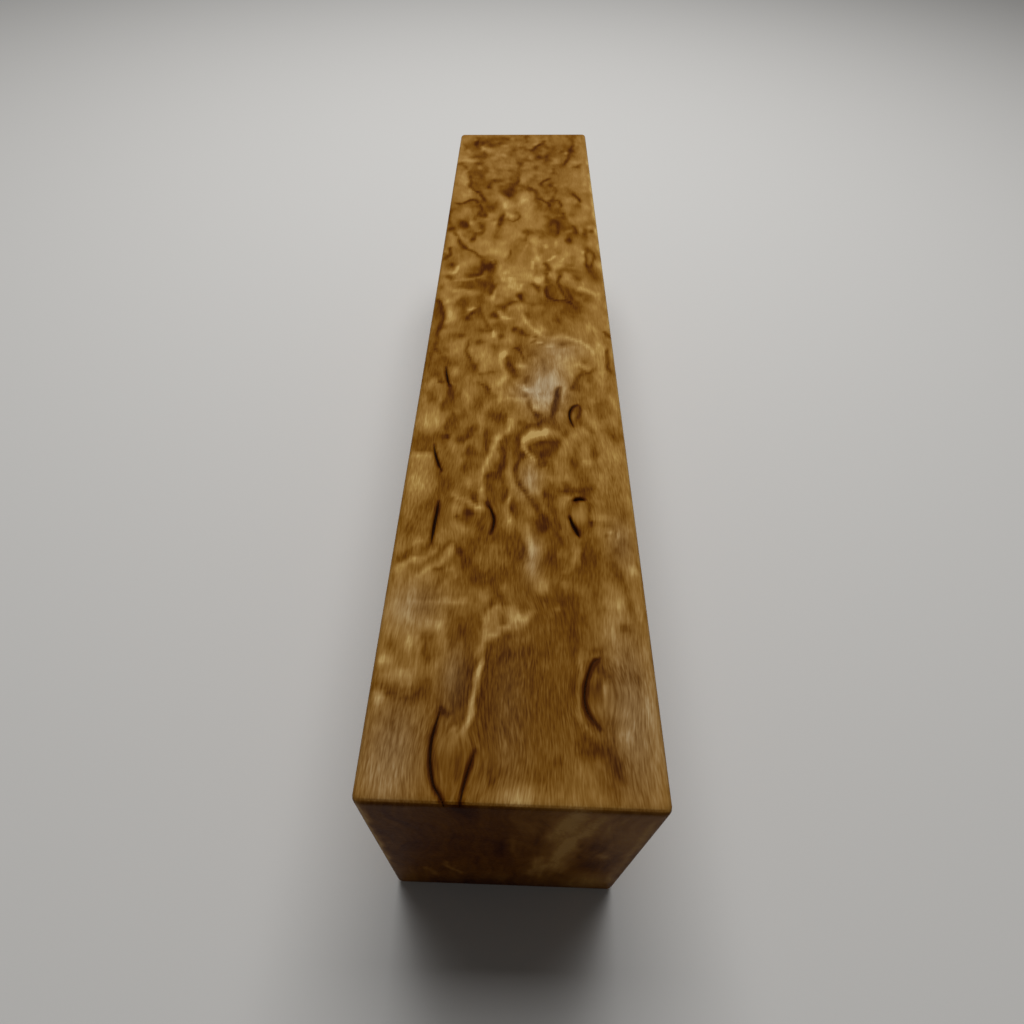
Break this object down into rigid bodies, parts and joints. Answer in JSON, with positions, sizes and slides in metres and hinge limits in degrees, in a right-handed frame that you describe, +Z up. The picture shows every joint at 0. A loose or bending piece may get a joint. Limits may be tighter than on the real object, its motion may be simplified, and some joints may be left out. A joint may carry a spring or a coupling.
{
  "type": "masur birch block",
  "caption": "Sawn and sanded rectangular blank of figured masur birch with rounded corners and fine bark clefts, for turning or carving a handle.",
  "frame": {"origin": "middle of the bounding box's bottom, on the surface that the block lies on", "axes": "+Y along the length and the grain, from the squarer end to the end sawn off square; +X across the narrow width; +Z up through the height"},
  "size_m": [0.0254, 0.1312, 0.0335],
  "materials": {
    "masur_birch": "sanded and oiled, satin"
  },
  "bodies": {
    "root": {"masur_birch_block": "masur_birch"}
  },
  "joints": []
}
